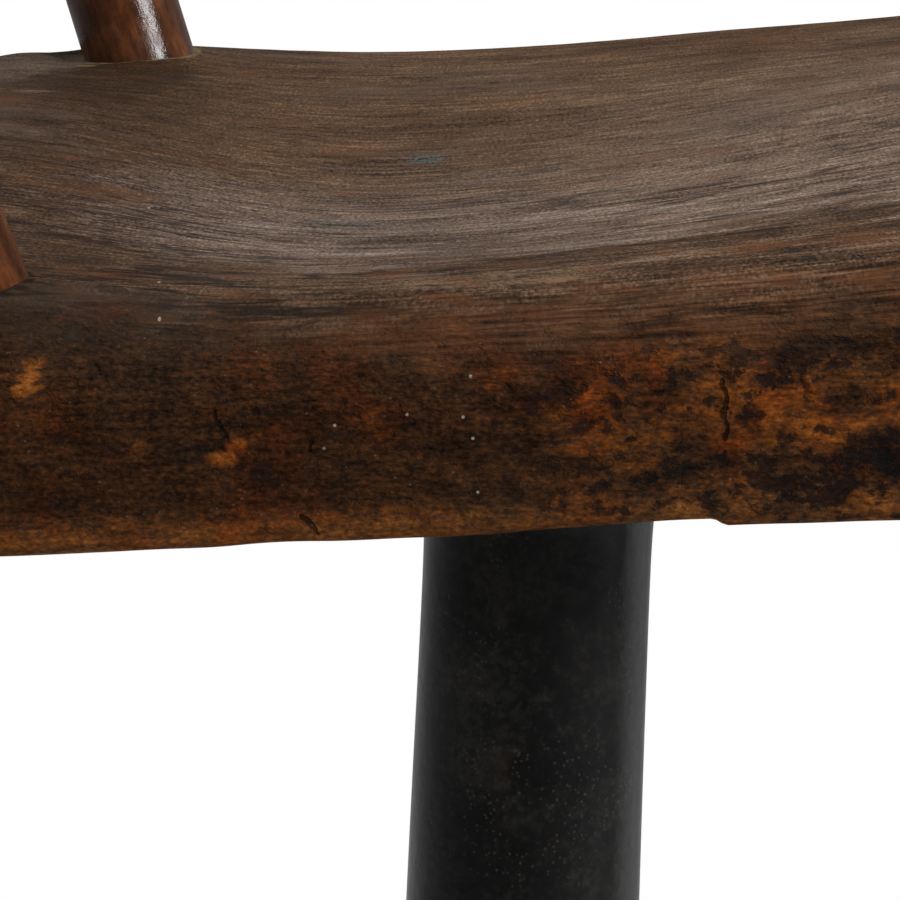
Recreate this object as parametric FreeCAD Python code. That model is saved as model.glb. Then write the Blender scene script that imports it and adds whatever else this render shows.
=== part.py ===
# Classroom chair with a hewn, scooped plank seat on four staked legs.
# Two raked posts carry a pegged slat and a crest rail. Millimetres, +Z up, the sitter faces -Y.
# Right and left are the sitter's own: right is -X.
import FreeCAD
import Part
import math
import os
from FreeCAD import Placement, Rotation, Vector

# Seat plank
SEAT_HEIGHT = 430.0          # top plane above the floor, at the plank's plan centre
SEAT_TILT = 2.9              # degrees, front edge the higher one
SEAT_DEPTH = 395.0
SEAT_BACK_WIDTH = 348.0
SEAT_FRONT_WIDTH = 348.0
SEAT_THICKNESS = 46.6
SEAT_BACK_CORNER = 75.0      # plan corner radii
SEAT_FRONT_CORNER = 55.0
SEAT_FRONT_BOW = 8.0         # how far the front and back edges swell at the middle
SEAT_BACK_BOW = 6.0
SEAT_TOP_ROUND = 13.0        # edge rounding, top and underside
SEAT_UNDER_ROUND = 3.0

# Scoop worn and carved into the seat's top
SCOOP_DEPTH = 17.5
SCOOP_BEHIND_CENTRE = 66.0   # the deepest line lies behind the plan centre
SCOOP_FRONT_REACH = 188.0    # from the deepest line to where the scoop runs out
SCOOP_BACK_REACH = 105.0
SCOOP_RIM_SHARE = 0.4        # share of the depth left at the plank's sides

# Legs
LEG_NECK = 41.9              # diameter just under the seat
LEG_SWELL = 44.0             # largest diameter
LEG_SWELL_DROP = 150.0       # how far down the leg it is
LEG_FOOT = 31.0
LEG_INSET = 41.0             # from the plank's side to the leg's axis
LEG_SPLAY = 9.0              # degrees outwards, seen from the front
REAR_LEG_AHEAD_OF_POSTS = 106.2
REAR_LEG_RAKE = 1.9          # degrees backwards, seen from the side
FRONT_LEG_FROM_EDGE = 62.0
FRONT_LEG_RAKE = 8.0         # degrees forwards
LEG_TENON = 28.0
LEG_TENON_LENGTH = 30.0

# Hidden wedge that spreads each leg's tenon, and the wedge in each post's foot
LEG_WEDGE_LENGTH = 22.0
POST_WEDGE_LENGTH = 26.0
WEDGE_THICK_END = 4.4
WEDGE_THIN_END = 1.2

# Stretchers
STRETCHER_HEIGHT = 150.0
SIDE_STRETCHER_END = 16.0    # diameter of the ends, which enter the legs
SIDE_STRETCHER_SWELL = 25.0
CROSS_STRETCHER_END = 14.0
CROSS_STRETCHER_SWELL = 23.0
STRETCHER_NECK = 8.0         # straight end left showing outside what it enters
STRETCHER_STOP = 4.0         # the ends stop this short of the axis of what they enter

# Back posts
POST_FROM_SIDE = 29.0        # from the plank's side to the post's axis, at the plank's top plane
POST_FROM_BACK = 57.4        # the same from its back edge
POST_DIAMETER = 27.4
POST_TOP_DIAMETER = 22.0
POST_STRAIGHT = 60.0         # full diameter kept this far above the seat
POST_RAKE = 17.9             # degrees backwards
POST_SPLAY = 12.5            # degrees outwards
POST_RISE = 262.0            # height of the crest's underside above the seat plane at the posts
POST_PROUD = 1.2             # how far the wedged foot stands below the plank
POST_TENON = 15.0
POST_TENON_LENGTH = 36.0

# Crest rail and slat
CREST_HEIGHT = 72.0
CREST_END_HEIGHT = 54.0
CREST_THICKNESS = 26.0
CREST_OVERHANG = 30.0        # past the post's axis
CREST_BOW = 32.0             # how far the rail bows backwards between the posts
CREST_CORNER = 16.0
CREST_ROUND = 4.0
SLAT_HEIGHT = 50.0
SLAT_ARCH = 6.0              # rise of the slat's top edge at the middle
SLAT_THICKNESS = 11.0
SLAT_DROP = 128.0            # slat's middle below the crest's underside, along the rake
SLAT_BOW = 26.0
SLAT_PAST_AXIS = 5.0         # the slat's ends run this far past the post's axis
SLAT_ROUND = 3.0

# Pegs
PEG_DIAMETER = 6.4
PEG_PROUD = 0.9
PEG_BEVEL = 0.7
SLAT_PEG_INSIDE_AXIS = 2.5
CREST_PEG_HEIGHT = 17.0      # above the crest's underside

# Fits
FIT = 0.1                    # gap round a tenon, rod or peg in its hole
END_GAP = 1.0                # free depth past the end of a blind tenon

# Reach of construction tools, which only have to be long or large enough
OVERRUN = 30.0
SPACE = 4 * (SEAT_HEIGHT + SEAT_DEPTH + POST_RISE)

SIDES = {"right": -1, "left": 1}
X_AXIS = Vector(1, 0, 0)
Y_AXIS = Vector(0, 1, 0)
Z_AXIS = Vector(0, 0, 1)
ORIGIN = Vector(0, 0, 0)


# Frames and general solids

def tangent(degrees):
    return math.tan(math.radians(degrees))


def cosine(degrees):
    return math.cos(math.radians(degrees))


def lifted(frame, height):
    """The frame moved along its own Z."""
    return frame.multiply(Placement(Vector(0, 0, height), Rotation()))


def turned_over(frame):
    """The frame with its Z reversed."""
    return frame.multiply(Placement(ORIGIN, Rotation(X_AXIS, 180)))


def axis_frame(origin, direction, across=X_AXIS):
    """Frame with its Z along the direction and its X as near as can be to the one given."""
    z = Vector(direction).normalize()
    y = z.cross(across).normalize()
    return Placement(origin, Rotation(y.cross(z), y, z, "ZXY"))


def axis_of(frame):
    return frame.Rotation.multVec(Z_AXIS)


def placed(shape, frame):
    shape.Placement = frame.multiply(shape.Placement)
    return shape


def half_space(frame):
    """Everything above the frame's XY plane, as a large box."""
    corner = Vector(-SPACE / 2, -SPACE / 2, 0)
    return placed(Part.makeBox(SPACE, SPACE, SPACE, corner), frame)


def rod(diameter, low, high):
    """Cylinder along Z between two heights."""
    return Part.makeCylinder(diameter / 2, high - low, Vector(0, 0, low))


def turned(stations, curved):
    """Solid of revolution about Z through (height, diameter) stations."""
    points = [Vector(diameter / 2, 0, height) for height, diameter in stations]
    low, high = Vector(0, 0, points[0].z), Vector(0, 0, points[-1].z)
    if curved:
        curve = Part.BSplineCurve()
        curve.interpolate(points)
        side = [curve.toShape()]
    else:
        side = [Part.makeLine(a, b) for a, b in zip(points, points[1:])]
    ends = [Part.makeLine(points[-1], high), Part.makeLine(high, low), Part.makeLine(low, points[0])]
    return Part.Face(Part.Wire(side + ends)).revolve(ORIGIN, Z_AXIS, 360)


def wedge_blank(thick_height, thin_height, width):
    """Tapered wedge across X, thick at one height and thin at the other."""
    thick, thin = WEDGE_THICK_END / 2, WEDGE_THIN_END / 2
    corners = [
        Vector(-width, -thick, thick_height),
        Vector(-width, thick, thick_height),
        Vector(-width, thin, thin_height),
        Vector(-width, -thin, thin_height),
    ]
    face = Part.Face(Part.makePolygon(corners + corners[:1]))
    return face.extrude(Vector(2 * width, 0, 0))


# The plank's own frame lies at its plan centre, in the plane of its top.
SEAT_FRAME = Placement(Vector(0, 0, SEAT_HEIGHT), Rotation(X_AXIS, -SEAT_TILT))
UNDERSIDE = lifted(SEAT_FRAME, -SEAT_THICKNESS)
BACK_EDGE = SEAT_DEPTH / 2
FRONT_EDGE = -SEAT_DEPTH / 2
POST_LINE = BACK_EDGE - POST_FROM_BACK
REAR_LEG_LINE = POST_LINE - REAR_LEG_AHEAD_OF_POSTS
FRONT_LEG_LINE = FRONT_EDGE + FRONT_LEG_FROM_EDGE

# The back's frame lies midway between the posts, in the plane of the crest's underside.
POST_FOOT = SEAT_FRAME.multVec(Vector(0, POST_LINE, 0))
BACK_ORIGIN = POST_FOOT + Vector(0, tangent(POST_RAKE) * POST_RISE, POST_RISE)
BACK_FRAME = Placement(BACK_ORIGIN, Rotation(X_AXIS, -POST_RAKE))


# Seat

def seat_half_width(y):
    """Half of the plank's width at a plan position."""
    share = (BACK_EDGE - y) / SEAT_DEPTH
    return (SEAT_BACK_WIDTH + share * (SEAT_FRONT_WIDTH - SEAT_BACK_WIDTH)) / 2


def scoop_depth(x, y):
    """Depth of the scoop below the plank's top plane at a plan position."""
    along = y - SCOOP_BEHIND_CENTRE
    reach = SCOOP_BACK_REACH if along > 0 else SCOOP_FRONT_REACH
    lengthwise = math.cos(math.pi / 2 * min(1.0, abs(along) / reach)) ** 2
    crosswise = math.cos(math.pi / 2 * min(1.0, abs(x) / seat_half_width(y))) ** 2
    return SCOOP_DEPTH * lengthwise * (SCOOP_RIM_SHARE + (1 - SCOOP_RIM_SHARE) * crosswise)


def scoop_tool():
    """Everything above the scooped top, from a smooth surface through a grid of depths."""
    columns, rows = 13, 15
    half_x = max(SEAT_FRONT_WIDTH, SEAT_BACK_WIDTH) / 2 + OVERRUN
    half_y = SEAT_DEPTH / 2 + OVERRUN
    xs = [half_x * (2 * i / (columns - 1) - 1) for i in range(columns)]
    ys = [half_y * (2 * i / (rows - 1) - 1) for i in range(rows)]
    surface = Part.BSplineSurface()
    surface.interpolate([[Vector(x, y, -scoop_depth(x, y)) for y in ys] for x in xs])
    return surface.toShape().extrude(Vector(0, 0, SEAT_THICKNESS + 2 * OVERRUN))


def corner_edges(solid, direction, test):
    """Straight edges along a direction whose middle passes a test."""
    straight = [e for e in solid.Edges if isinstance(e.Curve, Part.Line)]
    along = [e for e in straight if abs(e.tangentAt(e.FirstParameter).dot(direction)) > 0.999]
    return [e for e in along if test(e.CenterOfMass)]


def seat_plan():
    """Upright prism of the plank's plan with rounded corners."""
    back, front = SEAT_BACK_WIDTH / 2, SEAT_FRONT_WIDTH / 2
    under = -SEAT_THICKNESS
    back_right, back_left = Vector(-back, BACK_EDGE, under), Vector(back, BACK_EDGE, under)
    front_right, front_left = Vector(-front, FRONT_EDGE, under), Vector(front, FRONT_EDGE, under)
    back_middle = Vector(0, BACK_EDGE + SEAT_BACK_BOW, under)
    front_middle = Vector(0, FRONT_EDGE - SEAT_FRONT_BOW, under)
    outline = Part.Wire([
        Part.Arc(back_right, back_middle, back_left).toShape(),
        Part.makeLine(back_left, front_left),
        Part.Arc(front_left, front_middle, front_right).toShape(),
        Part.makeLine(front_right, back_right),
    ])
    prism = Part.Face(outline).extrude(Vector(0, 0, SEAT_THICKNESS + OVERRUN))
    prism = prism.makeFillet(SEAT_BACK_CORNER, corner_edges(prism, Z_AXIS, lambda p: p.y > 0))
    return prism.makeFillet(SEAT_FRONT_CORNER, corner_edges(prism, Z_AXIS, lambda p: p.y < 0))


def seat_plank():
    """Scooped plank with eased edges, mortised for the legs and bored through for the posts."""
    plank = seat_plan().cut(scoop_tool())
    under = min(plank.Faces, key=lambda face: face.CenterOfMass.z)
    plank = plank.makeFillet(SEAT_UNDER_ROUND, under.Edges)
    carved = [face for face in plank.Faces if isinstance(face.Surface, Part.BSplineSurface)]
    top = max(carved, key=lambda face: face.Area)
    plank = placed(plank.makeFillet(SEAT_TOP_ROUND, top.Edges), SEAT_FRAME)
    for side in SIDES.values():
        for line in (REAR_LEG_LINE, FRONT_LEG_LINE):
            mortise = rod(LEG_TENON + 2 * FIT, -OVERRUN, LEG_TENON_LENGTH + END_GAP)
            plank = plank.cut(placed(mortise, leg_frame(side, line)))
        hole = rod(POST_DIAMETER + 2 * FIT, -2 * SEAT_THICKNESS, POST_STRAIGHT)
        plank = plank.cut(placed(hole, post_frame(side)))
    return plank


# Legs and stretchers

def leg_frame(side, line):
    """Origin where the leg's axis meets the plank's underside, Z up along the axis."""
    x = side * (seat_half_width(line) - LEG_INSET)
    rake = tangent(REAR_LEG_RAKE) if line == REAR_LEG_LINE else -tangent(FRONT_LEG_RAKE)
    upwards = Vector(-side * tangent(LEG_SPLAY), -rake, 1)
    return axis_frame(SEAT_FRAME.multVec(Vector(x, line, -SEAT_THICKNESS)), upwards)


def leg_point(frame, height):
    """Point of the leg's axis at a height above the floor."""
    axis = axis_of(frame)
    return frame.Base + axis * ((height - frame.Base.z) / axis.z)


def leg_and_wedge(side, line):
    """Swelled leg, flush under the plank and cut level at the floor, and its hidden wedge."""
    frame = leg_frame(side, line)
    length = frame.Base.z / axis_of(frame).z
    taper = (LEG_SWELL - LEG_FOOT) / (length - LEG_SWELL_DROP)
    stations = [
        (-length - OVERRUN, LEG_FOOT - taper * OVERRUN),
        (-length, LEG_FOOT),
        (-LEG_SWELL_DROP, LEG_SWELL),
        (0, LEG_NECK),
        (OVERRUN, LEG_NECK),
    ]
    body = placed(turned(stations, curved=True), frame)
    body = body.cut(half_space(UNDERSIDE)).cut(half_space(turned_over(Placement())))
    tenon = placed(rod(LEG_TENON, -OVERRUN, LEG_TENON_LENGTH), frame)
    slot = wedge_blank(LEG_TENON_LENGTH, LEG_TENON_LENGTH - LEG_WEDGE_LENGTH, LEG_TENON)
    slot = placed(slot, frame)
    return body.fuse(tenon).removeSplitter().cut(slot), tenon.common(slot)


def stretcher(start, end, across, end_diameter, swell, entered):
    """Swelled rod between two axes, and the tool that bores both blind holes for it.
    entered is the diameter of the pieces that it enters."""
    length = start.distanceToPoint(end)
    frame = axis_frame(start, end - start, across)
    bare = entered / 2 + STRETCHER_NECK
    core = rod(end_diameter, STRETCHER_STOP, length - STRETCHER_STOP)
    stations = [(bare, end_diameter), (length / 2, swell), (length - bare, end_diameter)]
    body = core.fuse(turned(stations, curved=True)).removeSplitter()
    deep = STRETCHER_STOP - END_GAP
    hole = end_diameter + 2 * FIT
    bores = Part.makeCompound([rod(hole, deep, bare), rod(hole, length - bare, length - deep)])
    return placed(body, frame), placed(bores, frame)


# Back

def post_half_spacing():
    """Half of the distance between the posts' axes in the plank's top plane."""
    return seat_half_width(POST_LINE) - POST_FROM_SIDE


def post_frame(side):
    """Origin where the post's axis meets the plank's top plane, Z up along the axis."""
    upwards = Vector(side * tangent(POST_SPLAY), tangent(POST_RAKE), 1)
    foot = Vector(side * post_half_spacing(), POST_LINE, 0)
    return axis_frame(SEAT_FRAME.multVec(foot), upwards)


def post_offset(height):
    """Distance of a post's axis from the middle plane, at a height in the back's frame."""
    return post_half_spacing() + tangent(POST_SPLAY) * (POST_RISE + height * cosine(POST_RAKE))


def post_shoulder(side):
    """Length of the post's axis from the plank's top plane to the crest's underside."""
    return POST_RISE / axis_of(post_frame(side)).z


def post_diameter(side, height):
    """Diameter of the tapering post at a height in the back's frame."""
    shoulder = post_shoulder(side)
    position = shoulder * (1 + height * cosine(POST_RAKE) / POST_RISE)
    share = max(0.0, (position - POST_STRAIGHT) / (shoulder - POST_STRAIGHT))
    return POST_DIAMETER + share * (POST_TOP_DIAMETER - POST_DIAMETER)


def post_and_wedge(side):
    """Raked post with a wedged foot through the plank and a tenon for the crest, and its wedge."""
    frame = post_frame(side)
    shoulder = post_shoulder(side)
    stations = [
        (-2 * SEAT_THICKNESS, POST_DIAMETER),
        (POST_STRAIGHT, POST_DIAMETER),
        (shoulder, POST_TOP_DIAMETER),
        (shoulder + OVERRUN, POST_TOP_DIAMETER),
    ]
    below = turned_over(lifted(UNDERSIDE, -POST_PROUD))
    body = placed(turned(stations, curved=False), frame)
    body = body.cut(half_space(BACK_FRAME)).cut(half_space(below))
    tenon = placed(rod(POST_TENON, shoulder - OVERRUN, shoulder + POST_TENON_LENGTH), frame)
    foot = -(SEAT_THICKNESS + POST_PROUD) / axis_of(frame).dot(axis_of(SEAT_FRAME))
    slot = wedge_blank(foot - POST_DIAMETER / 2, foot + POST_WEDGE_LENGTH, POST_DIAMETER)
    slot = placed(slot, frame)
    return body.fuse(tenon).removeSplitter().cut(slot), body.common(slot)


def bow_radius(half_chord, bow):
    """Radius of the arc that bows this far between the ends of a chord."""
    return (half_chord ** 2 + bow ** 2) / (2 * bow)


def bowed_board(outline, corner, half_chord, bow, thickness, rounding):
    """Board of a front outline, bent to an arc that bows backwards between the posts."""
    radius = bow_radius(half_chord, bow)
    centre = Vector(0, bow - radius, -SPACE / 2)
    band = Part.makeCylinder(radius + thickness / 2, SPACE, centre)
    band = band.cut(Part.makeCylinder(radius - thickness / 2, SPACE, centre))
    reach = bow + 2 * thickness
    front = Part.Face(outline)
    front.translate(Vector(0, -reach, 0))
    prism = front.extrude(Vector(0, 2 * reach, 0))
    if corner:
        prism = prism.makeFillet(corner, corner_edges(prism, Y_AXIS, lambda p: True))
    board = prism.common(band)
    faces = [face for face in board.Faces if isinstance(face.Surface, Part.Cylinder)]
    bent = [face for face in faces if abs(face.Surface.Axis.z) > 0.999]
    edges = [edge for face in bent for edge in face.Edges]
    return placed(board.makeFillet(rounding, edges), BACK_FRAME)


def arched_outline(low_half, high_half, low, high, arch):
    """Front outline with a straight foot, straight ends and an arched top."""
    foot_right, foot_left = Vector(-low_half, 0, low), Vector(low_half, 0, low)
    top_right, top_left = Vector(-high_half, 0, high), Vector(high_half, 0, high)
    return Part.Wire([
        Part.makeLine(foot_right, foot_left),
        Part.makeLine(foot_left, top_left),
        Part.Arc(top_left, Vector(0, 0, high + arch), top_right).toShape(),
        Part.makeLine(top_right, foot_right),
    ])


def crest_rail():
    """Bowed rail on top of the posts, bored from below for their tenons."""
    half = post_offset(0) + CREST_OVERHANG
    outline = arched_outline(half, half, 0, CREST_END_HEIGHT, CREST_HEIGHT - CREST_END_HEIGHT)
    rail = bowed_board(outline, CREST_CORNER, post_offset(0), CREST_BOW, CREST_THICKNESS, CREST_ROUND)
    for side in SIDES.values():
        shoulder = post_shoulder(side)
        bore = rod(POST_TENON + 2 * FIT, shoulder - OVERRUN, shoulder + POST_TENON_LENGTH + END_GAP)
        rail = rail.cut(placed(bore, post_frame(side)))
    return rail


def back_slat(side_gap, end_gap):
    """Thin bowed slat let into both posts. The gaps enlarge it into the tool for its mortises."""
    low = -SLAT_DROP - SLAT_HEIGHT / 2 - side_gap
    high = -SLAT_DROP + SLAT_HEIGHT / 2 + side_gap
    past = SLAT_PAST_AXIS + end_gap
    outline = arched_outline(post_offset(low) + past, post_offset(high) + past, low, high, SLAT_ARCH)
    thickness = SLAT_THICKNESS + 2 * side_gap
    return bowed_board(outline, 0, post_offset(-SLAT_DROP), SLAT_BOW, thickness, SLAT_ROUND)


def peg_and_hole(frame, half_length):
    """Bevelled peg along the frame's Z, centred on it, and the tool for its hole."""
    peg = rod(PEG_DIAMETER, -half_length, half_length)
    rims = [edge for edge in peg.Edges if isinstance(edge.Curve, Part.Circle)]
    peg = peg.makeChamfer(PEG_BEVEL, rims)
    hole = rod(PEG_DIAMETER + 2 * FIT, -half_length, half_length)
    return placed(peg, frame), placed(hole, frame)


def slat_peg(side):
    """Peg through the post and the slat's end, front to back."""
    at = Vector(side * (post_offset(-SLAT_DROP) - SLAT_PEG_INSIDE_AXIS), 0, -SLAT_DROP)
    radius = post_diameter(side, -SLAT_DROP) / 2
    half_length = math.sqrt(radius ** 2 - SLAT_PEG_INSIDE_AXIS ** 2) + PEG_PROUD
    frame = BACK_FRAME.multiply(Placement(at, Rotation(Z_AXIS, Y_AXIS)))
    return peg_and_hole(frame, half_length)


def crest_peg(side):
    """Peg through the crest and the post's tenon, square to the crest's bent face."""
    radius = bow_radius(post_offset(0), CREST_BOW)
    x = side * post_offset(CREST_PEG_HEIGHT)
    outwards = Vector(x, math.sqrt(radius ** 2 - x ** 2), 0)
    at = outwards + Vector(0, CREST_BOW - radius, CREST_PEG_HEIGHT)
    frame = BACK_FRAME.multiply(Placement(at, Rotation(Z_AXIS, outwards)))
    return peg_and_hole(frame, CREST_THICKNESS / 2 + PEG_PROUD)


# Assembly

def undercarriage():
    """Legs with their wedges, and the stretchers bored into them."""
    nodes = {}
    middles = {}
    for name, side in SIDES.items():
        rear = leg_point(leg_frame(side, REAR_LEG_LINE), STRETCHER_HEIGHT)
        front = leg_point(leg_frame(side, FRONT_LEG_LINE), STRETCHER_HEIGHT)
        bar, bores = stretcher(rear, front, X_AXIS, SIDE_STRETCHER_END, SIDE_STRETCHER_SWELL, LEG_SWELL)
        nodes[name + "_side_stretcher"] = bar
        middles[name] = (rear + front) * 0.5
        for place, line in (("rear", REAR_LEG_LINE), ("front", FRONT_LEG_LINE)):
            leg, wedge = leg_and_wedge(side, line)
            nodes[name + "_" + place + "_leg"] = leg.cut(bores)
            nodes[name + "_" + place + "_leg_wedge"] = wedge
    bar, bores = stretcher(middles["right"], middles["left"], Y_AXIS,
                           CROSS_STRETCHER_END, CROSS_STRETCHER_SWELL, SIDE_STRETCHER_SWELL)
    nodes["cross_stretcher"] = bar
    for name in SIDES:
        nodes[name + "_side_stretcher"] = nodes[name + "_side_stretcher"].cut(bores)
    return nodes


def chair_back():
    """Posts with their wedges, crest, slat and the pegs that lock them."""
    nodes = {"crest_rail": crest_rail(), "back_slat": back_slat(0, 0)}
    mortises = back_slat(FIT, END_GAP)
    for name, side in SIDES.items():
        post, wedge = post_and_wedge(side)
        lower_peg, lower_hole = slat_peg(side)
        upper_peg, upper_hole = crest_peg(side)
        nodes[name + "_back_post"] = post.cut(mortises).cut(lower_hole).cut(upper_hole)
        nodes[name + "_post_wedge"] = wedge
        nodes[name + "_slat_peg"] = lower_peg
        nodes[name + "_crest_peg"] = upper_peg
        nodes["back_slat"] = nodes["back_slat"].cut(lower_hole)
        nodes["crest_rail"] = nodes["crest_rail"].cut(upper_hole)
    return nodes


def chair():
    """Every piece, moved so that the floor's middle point under the chair is the origin."""
    nodes = {"seat_plank": seat_plank()}
    nodes.update(undercarriage())
    nodes.update(chair_back())
    box = Part.makeCompound(list(nodes.values())).optimalBoundingBox(False)
    for shape in nodes.values():
        shape.translate(Vector(0, -(box.YMin + box.YMax) / 2, 0))
    return nodes


os.makedirs("parts", exist_ok=True)
for node, shape in chair().items():
    shape.exportStep("parts/" + node + ".step")
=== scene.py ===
# Visual model of the classroom chair: a worn, hewn plank seat on black staked legs with a varnished back.
# Metres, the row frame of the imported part: +Z up, the sitter faces -Y, right is -X.
import bpy
import math
import numpy as np
from mathutils import Matrix, Vector, noise


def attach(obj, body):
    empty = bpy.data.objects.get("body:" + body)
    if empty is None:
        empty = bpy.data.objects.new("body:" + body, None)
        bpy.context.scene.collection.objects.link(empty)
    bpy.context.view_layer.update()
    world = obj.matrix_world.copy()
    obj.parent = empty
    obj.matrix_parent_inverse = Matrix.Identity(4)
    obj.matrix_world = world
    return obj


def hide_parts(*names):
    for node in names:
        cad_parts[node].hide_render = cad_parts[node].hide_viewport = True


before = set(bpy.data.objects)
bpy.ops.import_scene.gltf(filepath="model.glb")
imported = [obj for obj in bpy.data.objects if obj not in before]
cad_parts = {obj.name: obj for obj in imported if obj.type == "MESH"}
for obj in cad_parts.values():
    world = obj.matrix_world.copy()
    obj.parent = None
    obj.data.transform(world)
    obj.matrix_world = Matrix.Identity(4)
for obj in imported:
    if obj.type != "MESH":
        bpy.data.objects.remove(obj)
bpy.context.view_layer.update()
MILLIMETRE = 0.001

# Plank, as in the part's source
ROW_SHIFT_Y = -0.040165      # the part's plan centre in the row frame
SEAT_HEIGHT = 0.430
SEAT_TILT = math.radians(2.9)
SEAT_DEPTH = 0.395
SEAT_WIDTH = 0.348
SEAT_THICKNESS = 0.0466
BACK_CORNER, FRONT_CORNER = 0.075, 0.055
BACK_BOW, FRONT_BOW = 0.006, 0.008
TOP_ROUND, UNDER_ROUND = 0.013, 0.003
SCOOP_DEPTH = 0.0175
SCOOP_BEHIND_CENTRE = 0.066
SCOOP_FRONT_REACH, SCOOP_BACK_REACH = 0.188, 0.105
SCOOP_RIM_SHARE = 0.4

# Wear of the plank, beyond the part's source
POST_SEAT_FALL = 0.14        # slope of the top towards the back, close round the left post
WORN_ROUND_IN, WORN_ROUND_DOWN = 0.028, 0.020   # softer rounding of the right edge, from use
CHIP_DEPTH = 0.0013          # of the long chip out of the right side's lower edge

# Legs, posts and stretchers, as in the part's source
POST_FROM_SIDE, POST_FROM_BACK = 0.029, 0.0574
POST_ACROSS = SEAT_WIDTH / 2 - POST_FROM_SIDE
POST_LINE = SEAT_DEPTH / 2 - POST_FROM_BACK
POST_DIAMETER, POST_TOP_DIAMETER = 0.0274, 0.0220
POST_STRAIGHT = 0.060
POST_RAKE, POST_SPLAY = math.radians(17.9), math.radians(12.5)
POST_RISE = 0.262
LEG_NECK, LEG_SWELL, LEG_FOOT = 0.0419, 0.0440, 0.0310
LEG_SWELL_DROP = 0.150
LEG_INSET = 0.041
LEG_SPLAY = math.radians(9.0)
REAR_LEG_AHEAD, REAR_LEG_RAKE = 0.1062, math.radians(1.9)
REAR_LEG_LINE = POST_LINE - REAR_LEG_AHEAD
FRONT_LEG_INSET, FRONT_LEG_RAKE = 0.062, math.radians(-8.0)
FRONT_LEG_LINE = -SEAT_DEPTH / 2 + FRONT_LEG_INSET
STRETCHER_HEIGHT = 0.150
SIDE_STRETCHER_END, SIDE_STRETCHER_SWELL = 0.016, 0.025
CROSS_STRETCHER_END, CROSS_STRETCHER_SWELL = 0.014, 0.023
STRETCHER_NECK = 0.008       # straight length outside the piece it enters

# Hand-made details of the round pieces, beyond the part's source
LEG_FLARE, LEG_FLARE_FADE = 0.0013, 0.005   # widening right under the plank, and how soon it fades
LEG_ENTRY = 0.0015           # how far a leg's mesh goes into the plank
FOOT_WORN, FOOT_WORN_SHARE = 0.0016, 0.003  # the foot's rim, eased by wear over this share of the leg
STRETCHER_STOP = 0.004       # how far a stretcher's mesh ends from the axis it points to
POST_FOOT_SHIFT = {-1: -0.0007, 1: -0.0013}   # of the right and the left post's foot, along the seat
POST_PROUD = 0.0009          # how far a post's foot stands out under the plank
LEG_WOBBLE, STRETCHER_WOBBLE, POST_WOBBLE = 0.00022, 0.00018, 0.00016
CREST_RELIEF, SLAT_RELIEF = 0.0004, 0.0003
RAIL_FREQUENCIES = (30, 60, 60)

# Fineness of the meshes
OUTLINE_SAMPLES, OUTLINE_HALVINGS = 4000, 50
SEAT_AROUND = 860
UNDER_RINGS, ARRIS_RINGS, SIDE_RINGS, ROUND_RINGS, TOP_RINGS = 9, 5, 18, 21, 60
LEG_RINGS, LEG_AROUND = 150, 96
FOOT_RINGS, FOOT_SHARE = 6, 0.012
STRETCHER_RINGS, STRETCHER_AROUND = 110, 64
POST_RINGS, POST_AROUND = 140, 80
CREST_VOXEL, SLAT_VOXEL = 0.0018, 0.0014

# Marks on the plank's top, in its own frame as (across, along): middle, half size and, for some, strength
GLUE_FLECK = ((0.1274, 0.1498), (0.0020, 0.0030))
GLUE_LINE = 0.0017           # width of the dried glue round the left post's foot
POST_GAP_SHADOW = 0.0020            # width of the painted shadow in the gap round the right post's foot
# Painted shadows on the top in front of the posts' feet: darker colour where their shade falls
POST_PAINTED_SHADOWS = [((0.100, 0.138), (0.045, 0.019)), ((-0.149, 0.140), (0.028, 0.026))]
# Grey painted light beside the left post's foot: paler colour where the post's shadow falls on the top
GREY_PAINTED_LIGHT = ((0.128, 0.163), (0.040, 0.016))
PAINT_TRACES = [((0.0452, 0.0617), (0.0042, 0.0050), 0.75), ((-0.0306, 0.0762), (0.0060, 0.0090), 0.35)]
TOP_SPECKS = [(-0.0421, 0.1146), (-0.1388, 0.1013), (-0.0642, 0.0764)]
TOP_SPLIT = ((-0.0340, -0.0010), (-0.0420, -0.0401), 0.0007)   # start, end and half its width
SPECK = 0.0003               # half the length of a pale speck

# Marks on the plank's right edge, in its own frame as (along, up)
STAINS = [((0.0811, -0.0342), (0.0030, 0.0030)), ((0.0816, -0.0425), (0.0014, 0.0030)),
          ((0.0301, -0.0238), (0.0052, 0.0050)), ((0.0443, -0.0386), (0.0020, 0.0014)),
          ((0.0253, -0.0340), (0.0032, 0.0036)), ((-0.0052, -0.0365), (0.0030, 0.0034)),
          ((-0.0105, -0.0326), (0.0050, 0.0030)), ((-0.0265, -0.0344), (0.0050, 0.0040)),
          ((-0.0207, -0.0384), (0.0032, 0.0030)), ((-0.0154, -0.0423), (0.0025, 0.0022)),
          ((-0.0148, -0.0197), (0.0035, 0.0028)), ((-0.0195, -0.0171), (0.0025, 0.0030))]
WEAR_PATCHES = [((0.1200, -0.0133), (0.0024, 0.0011), 0.17), ((0.1208, -0.0152), (0.0026, 0.0010), 0.17),
                ((0.1214, -0.0172), (0.0030, 0.0012), 0.19), ((0.0853, -0.0284), (0.0022, 0.0020), 0.15),
                ((0.0880, -0.0310), (0.0030, 0.0016), 0.17), ((0.0493, -0.0165), (0.0050, 0.0020), 0.06),
                ((0.1022, -0.0282), (0.0026, 0.0016), 0.09)]
EDGE_SPECKS = [(0.0991, -0.0085), (0.0701, -0.0295), (0.0442, -0.0185), (0.0438, -0.0385),
               (0.0457, -0.0250), (0.0680, -0.0255), (0.0442, -0.0288), (0.0554, -0.0242)]
CRACKS = [((0.0008, -0.0212), (0.0003, -0.0309), 0.0005), ((0.0887, -0.0228), (0.0867, -0.0274), 0.0004),
          ((0.0750, -0.0419), (0.0724, -0.0447), 0.0005), ((0.0725, -0.0280), (0.0728, -0.0298), 0.0004)]
SPOT_FADE = (1.3, 0.4)       # square of the distance from a spot's middle where it ends and where it is full

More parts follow.
